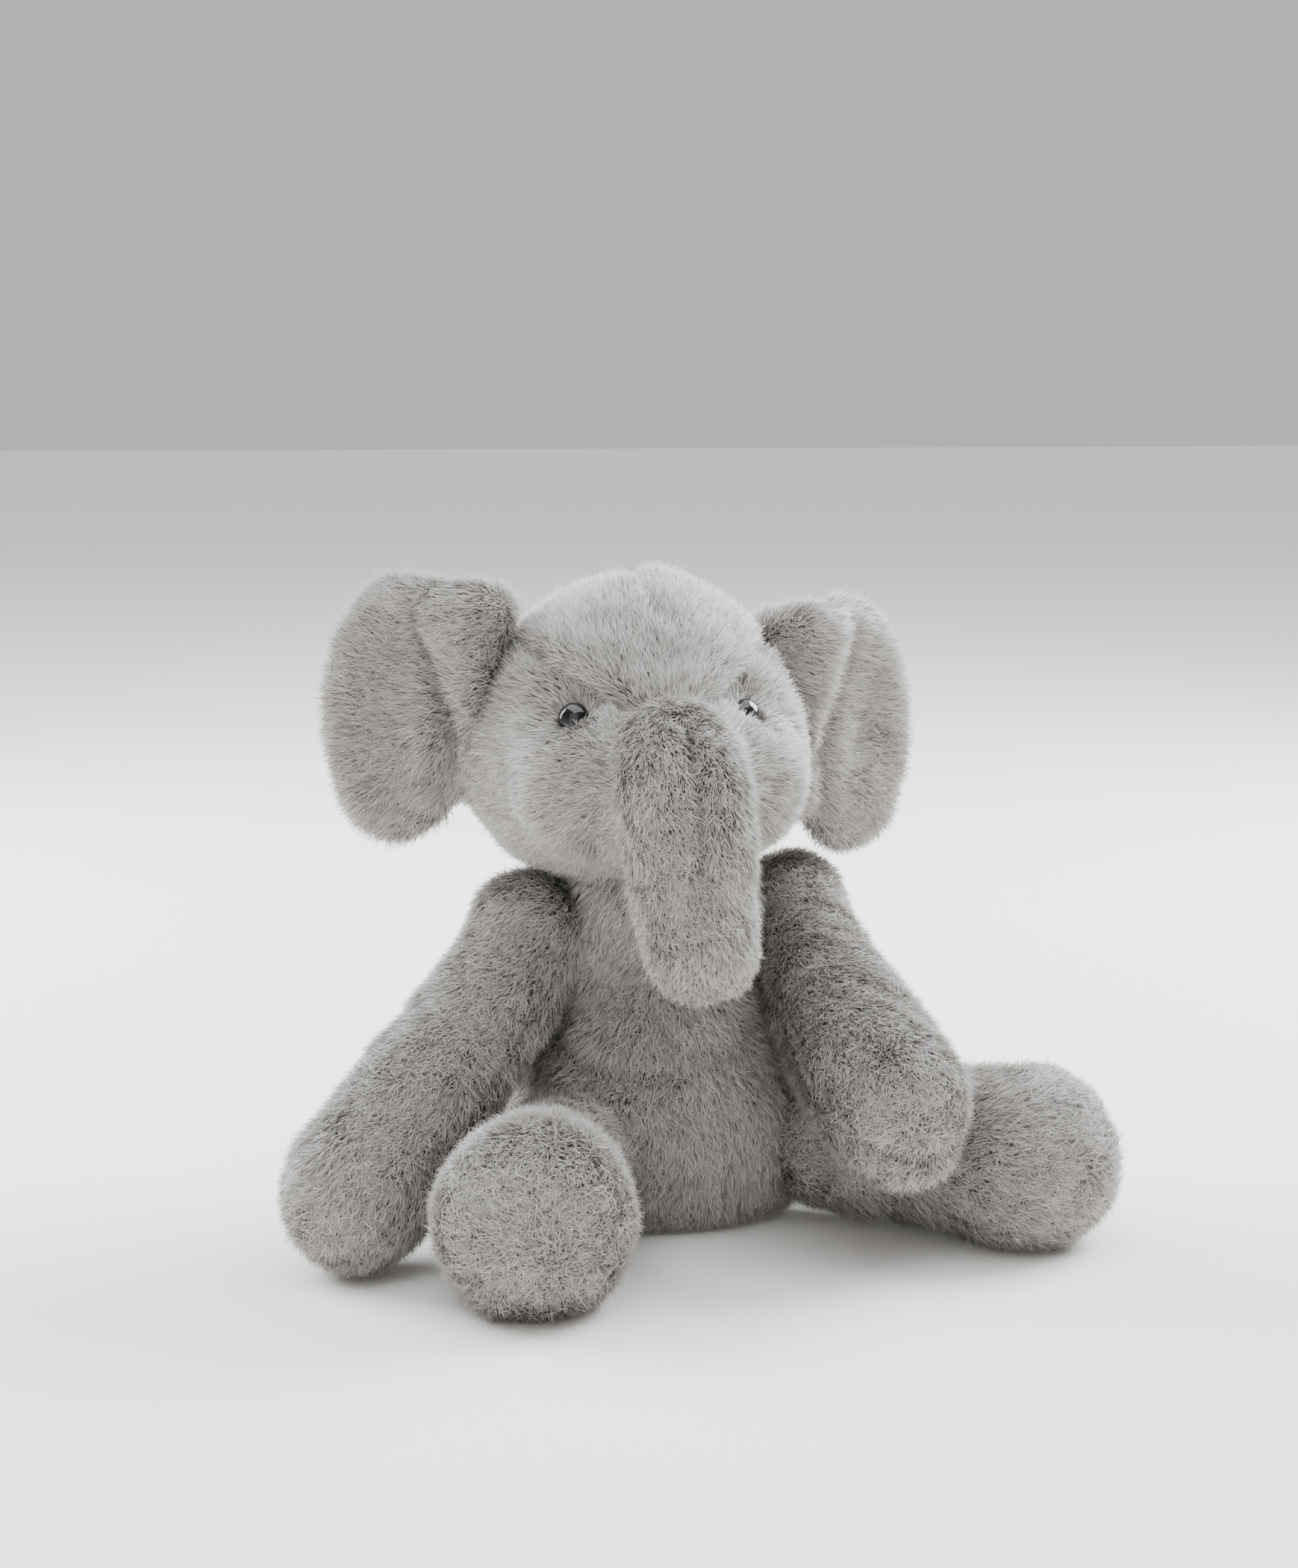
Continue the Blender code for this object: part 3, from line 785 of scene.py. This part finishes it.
class PLUSH_OT_trunk(bpy.types.Operator):
    """Add the trunk, which grows out of the face and curls at its end"""

    bl_idname = "plush.trunk"
    bl_label = "Trunk"

    def execute(self, context):
        def in_front(points):
            return (points - np.array(TRUNK_ROOT)) @ np.array(FORWARD) > 6 * MM

        seam = [(TRUNK_MIDDLE, LATERAL, in_front)]
        bm = bmesh.new()
        high, bend = TRUNK_ROOT + UP * 11 * MM - FORWARD * 8 * MM, TRUNK_ROOT + FORWARD * 24 * MM
        for share in np.linspace(0, 1, 12):
            centre = high.lerp(bend, share).lerp(bend.lerp(TRUNK_MIDDLE, share), share)
            add_ball(bm, centre, (22.5 - 3.5 * share**2) * MM)
        upper = form_from("trunk_upper_cloth", bm, 4, 1.4 * MM)
        pad_out(upper, seam, depth=1.6)
        bm = bmesh.new()
        for share in np.linspace(0, 1, 7):
            centre = TRUNK_MIDDLE.lerp(TRUNK_END, 0.62 * share) - LATERAL * 2 * share * MM
            add_ball(bm, centre, (19 - 3 * share + 2 * share**2) * MM)
        lower = form_from("trunk_lower_cloth", bm, 4, 1.4 * MM)
        pad_out(lower)
        low_axis = TRUNK_END - TRUNK_MIDDLE
        upper_pile = grow_pile(
            "trunk_upper_pile",
            upper,
            limb_flow(TRUNK_ROOT, TRUNK_MIDDLE - TRUNK_ROOT, 0.4),
            seams=seam,
            hidden=["head_cloth", "trunk_lower_cloth"],
            length=0.92,
            seed=60,
        )
        lower_pile = grow_pile(
            "trunk_lower_pile",
            lower,
            limb_flow(TRUNK_MIDDLE, low_axis),
            hidden=["trunk_upper_cloth"],
            length=0.88,
            seed=70,
        )
        for piece in (upper, upper_pile):
            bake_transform(piece)
        for piece in (lower, lower_pile):
            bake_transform(piece)
        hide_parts(*TRUNK_UPPER)
        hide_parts(*TRUNK_LOWER)
        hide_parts("trunk_stuffing")
        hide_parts("trunk_tip_stuffing")
        return {"FINISHED"}


EAR_RINGS, EAR_STEPS = 12, 48
EAR_HALF_THICKNESS = 11.5 * MM
EAR_CUP = 9 * MM  # how far the outer edge stands forward


def ear_form(side):
    """A thick rounded lobe, dished to the front, with the pleat that its sewn root makes."""
    covers = (f"ear_{side}_front_cover", f"ear_{side}_back_cover")
    hinge = joint_at(f"ear_{side}_fold")
    middle = middle_of(*covers)
    outward = (middle - hinge) * Vector((1, 1, 0))
    outward.normalize()
    forward = outward.cross(UP) * SIDES[side]
    own = (node_points(covers) - np.array(hinge)) @ np.array([outward, forward, UP]).T
    low, high = own.min(0), own.max(0)
    centre = (low[0] + high[0]) / 2
    bm = bmesh.new()

    def place(x, y, z):
        return hinge + outward * x + forward * y + UP * z

    def bowl(front):
        loop = [bm.verts.new(place(centre, front * 8 * MM - 2 * MM, 0))] * EAR_STEPS
        for ring in range(1, EAR_RINGS + 1):
            q = ring / EAR_RINGS
            thick = EAR_HALF_THICKNESS * math.sqrt(max(1 - q**3.2, 0)) * (0.66 + 0.34 * q * q)
            inner, loop = loop, []
            for step in range(EAR_STEPS):
                angle = 2 * math.pi * step / EAR_STEPS
                x = centre + q * math.cos(angle) * (high[0] - low[0]) / 2 * (1 - 0.1 * math.sin(angle))
                z = q * math.sin(angle) * (high[2] if math.sin(angle) > 0 else -low[2])
                cup = EAR_CUP * q * q * max(math.cos(angle), 0) - 2 * MM
                loop.append(bm.verts.new(place(x, cup + front * thick, z)))
            for step in range(EAR_STEPS):
                corners = [inner[step - 1], loop[step - 1], loop[step], inner[step]]
                bm.faces.new(list(dict.fromkeys(corners)))

    bowl(1)
    bowl(-1)
    bmesh.ops.remove_doubles(bm, verts=bm.verts, dist=0.01 * MM)
    bmesh.ops.recalc_face_normals(bm, faces=bm.faces)
    for share in np.linspace(0, 1, 10):
        pleat = place((-1 - 6 * share) * MM, (8 + 3 * share) * MM, (37 - 42 * share) * MM)
        add_ball(bm, pleat, (10.5 - 7 * share) * MM)
    for share in np.linspace(0, 1, 5):
        bridge = place((2 + 20 * share) * MM, (6 - 5 * share) * MM, (36 + 2 * share) * MM)
        add_ball(bm, bridge, 10 * MM)
    for share in np.linspace(0, 1, 6):
        sewn_edge = place((-9 + 6 * share) * MM, -1 * MM, (36 - 62 * share) * MM)
        add_ball(bm, sewn_edge, 10 * MM)
    form = form_from(f"ear_{side}_cloth", bm, 3, 1.0 * MM)
    rim = [(hinge, forward, lambda p: ((p - np.array(hinge)) @ np.array(outward)) > high[0] * 0.9)]
    pad_out(form, rim)
    points, normals = vertex_arrays(form.data)
    own = (points - np.array(hinge)) @ np.array([outward, forward, UP]).T
    fold = (own[:, 0] - 2 * MM - 0.36 * np.maximum(own[:, 2], 0)) / (5.5 * MM)
    front = np.clip(normals @ np.array(forward), 0, 1)
    depth = 6.5 * MM * np.exp(-(fold**2)) * np.clip((44 * MM - own[:, 2]) / (14 * MM), 0, 1)
    aside, above = (own[:, 0] - 26 * MM) / (18 * MM), (own[:, 2] + 6 * MM) / (30 * MM)
    dish = 4 * MM * np.exp(-(aside**2) - above**2)
    set_points(form.data, points - np.array(forward) * ((depth + dish) * front)[:, None])
    return form, hinge, outward, forward


class PLUSH_OT_ears(bpy.types.Operator):
    """Add the two thick rounded ears"""

    bl_idname = "plush.ears"
    bl_label = "Ears"

    def execute(self, context):
        for index, side in enumerate(SIDES):
            form, hinge, outward, forward = ear_form(side)
            ahead, start = np.array(forward), np.array(hinge)
            flow = limb_flow(hinge - outward * 20 * MM, outward - UP * 0.35, 0.5)
            pieces = [form]
            for name, front, seed in (("front", True, 80), ("back", False, 90)):
                fur = grow_pile(
                    f"ear_{side}_{name}_pile",
                    form,
                    flow,
                    lambda p, f=front: ((p - start) @ ahead > 0) == f,
                    hidden=["head_cloth"],
                    seed=seed + 3 * index,
                )
                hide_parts(f"ear_{side}_{name}_cover")
                pieces.append(fur)
            for piece in pieces:
                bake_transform(piece)
            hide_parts(f"ear_{side}_wadding")
        return {"FINISHED"}


class PLUSH_OT_arms(bpy.types.Operator):
    """Add the two long floppy arms"""

    bl_idname = "plush.arms"
    bl_label = "Arms"

    def execute(self, context):
        for index, side in enumerate(SIDES):
            covers = (f"arm_{side}_upper_cover", f"arm_{side}_under_cover")
            start, axis, _ = limb(f"shoulder_{side}_swing", covers)
            bm = bmesh.new()
            add_hull(bm, covers)
            for along, radius in ARM_BALLS_MM:
                add_ball(bm, start + axis * along * MM, radius * MM)
            add_ball(bm, start + UP * 5 * MM, 22 * MM)
            arm = form_from(f"arm_{side}_cloth", bm, 6, 0.6 * MM)
            up = (UP - axis * UP.dot(axis)).normalized()

            def past_shoulder(points, start=np.array(start), axis=np.array(axis)):
                return (points - start) @ axis > 20 * MM

            seam = [(start, up, past_shoulder)]
            pad_out(arm, seam)
            flow = limb_flow(start, axis)
            fur = grow_pile(
                f"arm_{side}_pile", arm, flow, seams=seam, hidden=["torso_cloth"], seed=100 + index
            )
            for piece in (arm, fur):
                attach(piece, f"arm_{side}")
            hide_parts(*covers)
            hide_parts(f"arm_{side}_stuffing", f"shoulder_{side}_wad")
        return {"FINISHED"}


class PLUSH_OT_legs(bpy.types.Operator):
    """Add the two short legs with their round soles"""

    bl_idname = "plush.legs"
    bl_label = "Legs"

    def execute(self, context):
        for index, side in enumerate(SIDES):
            covers = (f"leg_{side}_cover", f"foot_{side}_sole")
            start, axis, reach = limb(f"hip_{side}_lift", covers)
            bm = bmesh.new()
            inset, sole_radius = SOLE_BALL_MM
            for along, radius in (*LEG_BALLS_MM, (reach / MM - inset, sole_radius)):
                add_ball(bm, start + axis * along * MM, radius * MM)
            leg = form_from(f"leg_{side}_cloth", bm, 6, 0.8 * MM)
            sole_seam = start + axis * (reach - SOLE_SEAM_INSET)
            pad_out(leg, [(sole_seam, axis, everywhere)], depth=0.2)
            edge = np.array(sole_seam)
            flow = limb_flow(start, axis)
            cuts = {
                f"leg_{side}_pile": (lambda p: (p - edge) @ np.array(axis) <= 0, f"leg_{side}_cover"),
                f"foot_{side}_sole_pile": (lambda p: (p - edge) @ np.array(axis) > 0, f"foot_{side}_sole"),
            }
            for number, (name, (panel, node)) in enumerate(cuts.items()):
                fur = grow_pile(name, leg, flow, panel, hidden=["torso_cloth"], seed=110 + 4 * index + number)
                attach(fur, f"leg_{side}")
                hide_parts(node)
            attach(leg, f"leg_{side}")
            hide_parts(f"leg_{side}_stuffing", f"hip_{side}_wad")
        return {"FINISHED"}


class PLUSH_OT_tail(bpy.types.Operator):
    """Add the small tail"""

    bl_idname = "plush.tail"
    bl_label = "Tail"

    def execute(self, context):
        start, axis, _ = limb("tail_swing", ("tail",))
        bm = bmesh.new()
        add_hull(bm, ("tail",))
        add_ball(bm, start, 7.5 * MM)
        tail = form_from("tail_cloth", bm, 2, 2.0 * MM)
        pad_out(tail)
        flow = limb_flow(start, axis, 0.3)
        fur = grow_pile("tail_pile", tail, flow, hidden=["torso_cloth"], length=0.8, seed=130)
        for piece in (tail, fur):
            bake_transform(piece)
        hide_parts("tail")
        return {"FINISHED"}


FLOOR_WASH = {"From Min": 0.5, "From Max": 2.2, "To Min": 0.04, "To Max": 0.8}  # glow by distance
ROOM_WASH = {"From Min": 0.18, "From Max": 0.4, "To Min": 0.7, "To Max": 0.15}  # brightness by height
SENSOR_MM, LENS_MM = 36, 62.9
AIM_ABOVE, AIM_RIGHT = 0.165, -0.004
LIT_POINT = Vector((0, 0, 0.12))
LIGHTS = {  # place to the camera's right, towards it and up, edge in metres, power in watts
    "window_behind_right": ((1.2, -0.7, 1.2), 1.0, 80),
    "window_behind_left": ((-1.2, -0.6, 0.9), 1.0, 56),
    "sky_above": ((0, 0, 3.0), 4.0, 185),
    "front_fill": ((-0.6, 1.6, 0.7), 1.4, 6),
}


class PLUSH_OT_stage(bpy.types.Operator):
    """Add the floor, the lights and the camera"""

    bl_idname = "plush.stage"
    bl_label = "Stage"

    def execute(self, context):
        stage = context.scene.plush_stage
        deselect_all()
        bpy.ops.mesh.primitive_plane_add(size=60, location=(0, 0, 0))
        floor = context.active_object
        floor.name = "floor"
        finish = new_material("matt_white_cotton")
        tree = finish.node_tree
        coords = add_node(tree, "ShaderNodeTexCoord")
        away = add_node(tree, "ShaderNodeVectorMath", {"operation": "LENGTH"}, {0: (coords, "Object")})
        haze = add_node(tree, "ShaderNodeMapRange", FLOOR_WASH, {"Value": (away, "Value")})
        shader = add_node(
            tree,
            "ShaderNodeBsdfPrincipled",
            {"Base Color": (*stage.floor, 1), "Roughness": 0.9, "Emission Color": (*stage.floor, 1)},
            {"Emission Strength": (haze, "Result")},
        )
        add_node(tree, "ShaderNodeOutputMaterial", links={"Surface": (shader, "BSDF")})
        floor.data.materials.append(finish)

        sin_a, cos_a = math.sin(stage.azimuth), math.cos(stage.azimuth)
        sin_e, cos_e = math.sin(stage.elevation), math.cos(stage.elevation)
        back = Vector((sin_a * cos_e, -cos_a * cos_e, sin_e))
        right = Vector((cos_a, sin_a, 0))
        above = back.cross(right)
        aim = above * AIM_ABOVE + right * AIM_RIGHT
        camera = bpy.data.objects.new("camera", bpy.data.cameras.new("camera"))
        context.scene.collection.objects.link(camera)
        camera.location = aim + back * stage.distance
        camera.rotation_mode = "QUATERNION"
        camera.rotation_quaternion = back.to_track_quat("Z", "Y")
        camera.data.sensor_fit = "VERTICAL"
        camera.data.sensor_height = SENSOR_MM
        camera.data.lens = LENS_MM
        context.scene.camera = camera

        world = bpy.data.worlds.new("soft_room")
        world.use_nodes = True
        tree = world.node_tree
        coords = add_node(tree, "ShaderNodeTexCoord")
        height = add_node(tree, "ShaderNodeSeparateXYZ", links={"Vector": (coords, "Generated")})
        strength = add_node(tree, "ShaderNodeMapRange", ROOM_WASH, {"Value": (height, "Z")})
        room = tree.nodes["Background"].inputs
        room["Color"].default_value = (*linear("F2EFEA"), 1)
        tree.links.new(strength.outputs["Result"], room["Strength"])
        context.scene.world = world
        for name, ((aside, toward, high), size, power) in LIGHTS.items():
            place = right * aside + back * toward + UP * high
            light = bpy.data.objects.new(name, bpy.data.lights.new(name, "AREA"))
            context.scene.collection.objects.link(light)
            light.data.shape = "SQUARE"
            light.data.size = size
            light.data.energy = power
            light.location = place
            light.rotation_mode = "QUATERNION"
            light.rotation_quaternion = (place - LIT_POINT).to_track_quat("Z", "Y")
        return {"FINISHED"}


OPERATORS = (
    PLUSH_OT_stage,
    PLUSH_OT_torso,
    PLUSH_OT_head,
    PLUSH_OT_eyes,
    PLUSH_OT_trunk,
    PLUSH_OT_ears,
    PLUSH_OT_arms,
    PLUSH_OT_legs,
    PLUSH_OT_tail,
)
SETTINGS = {
    "plush_pile": PlushPileSettings,
    "plush_colours": PlushColourSettings,
    "plush_padding": PlushPaddingSettings,
    "plush_stage": PlushStageSettings,
}


class PLUSH_PT_panel(bpy.types.Panel):
    """Lists the pieces of the toy and their sizes"""

    bl_label = "Plush elephant"
    bl_space_type = "VIEW_3D"
    bl_region_type = "UI"
    bl_category = "Plush"

    def draw(self, context):
        for operator in OPERATORS:
            self.layout.operator(operator.bl_idname)
        for name, group in SETTINGS.items():
            for setting in group.__annotations__:
                self.layout.prop(getattr(context.scene, name), setting)


def register():
    for group in (*SETTINGS.values(), *OPERATORS, PLUSH_PT_panel):
        bpy.utils.register_class(group)
    for name, group in SETTINGS.items():
        setattr(bpy.types.Scene, name, PointerProperty(type=group))


def unregister():
    for name in SETTINGS:
        delattr(bpy.types.Scene, name)
    for group in (PLUSH_PT_panel, *OPERATORS, *SETTINGS.values()):
        bpy.utils.unregister_class(group)


def main():
    register()
    for operator in OPERATORS:
        family, name = operator.bl_idname.split(".")
        getattr(getattr(bpy.ops, family), name)()


if __name__ == "__main__":
    main()
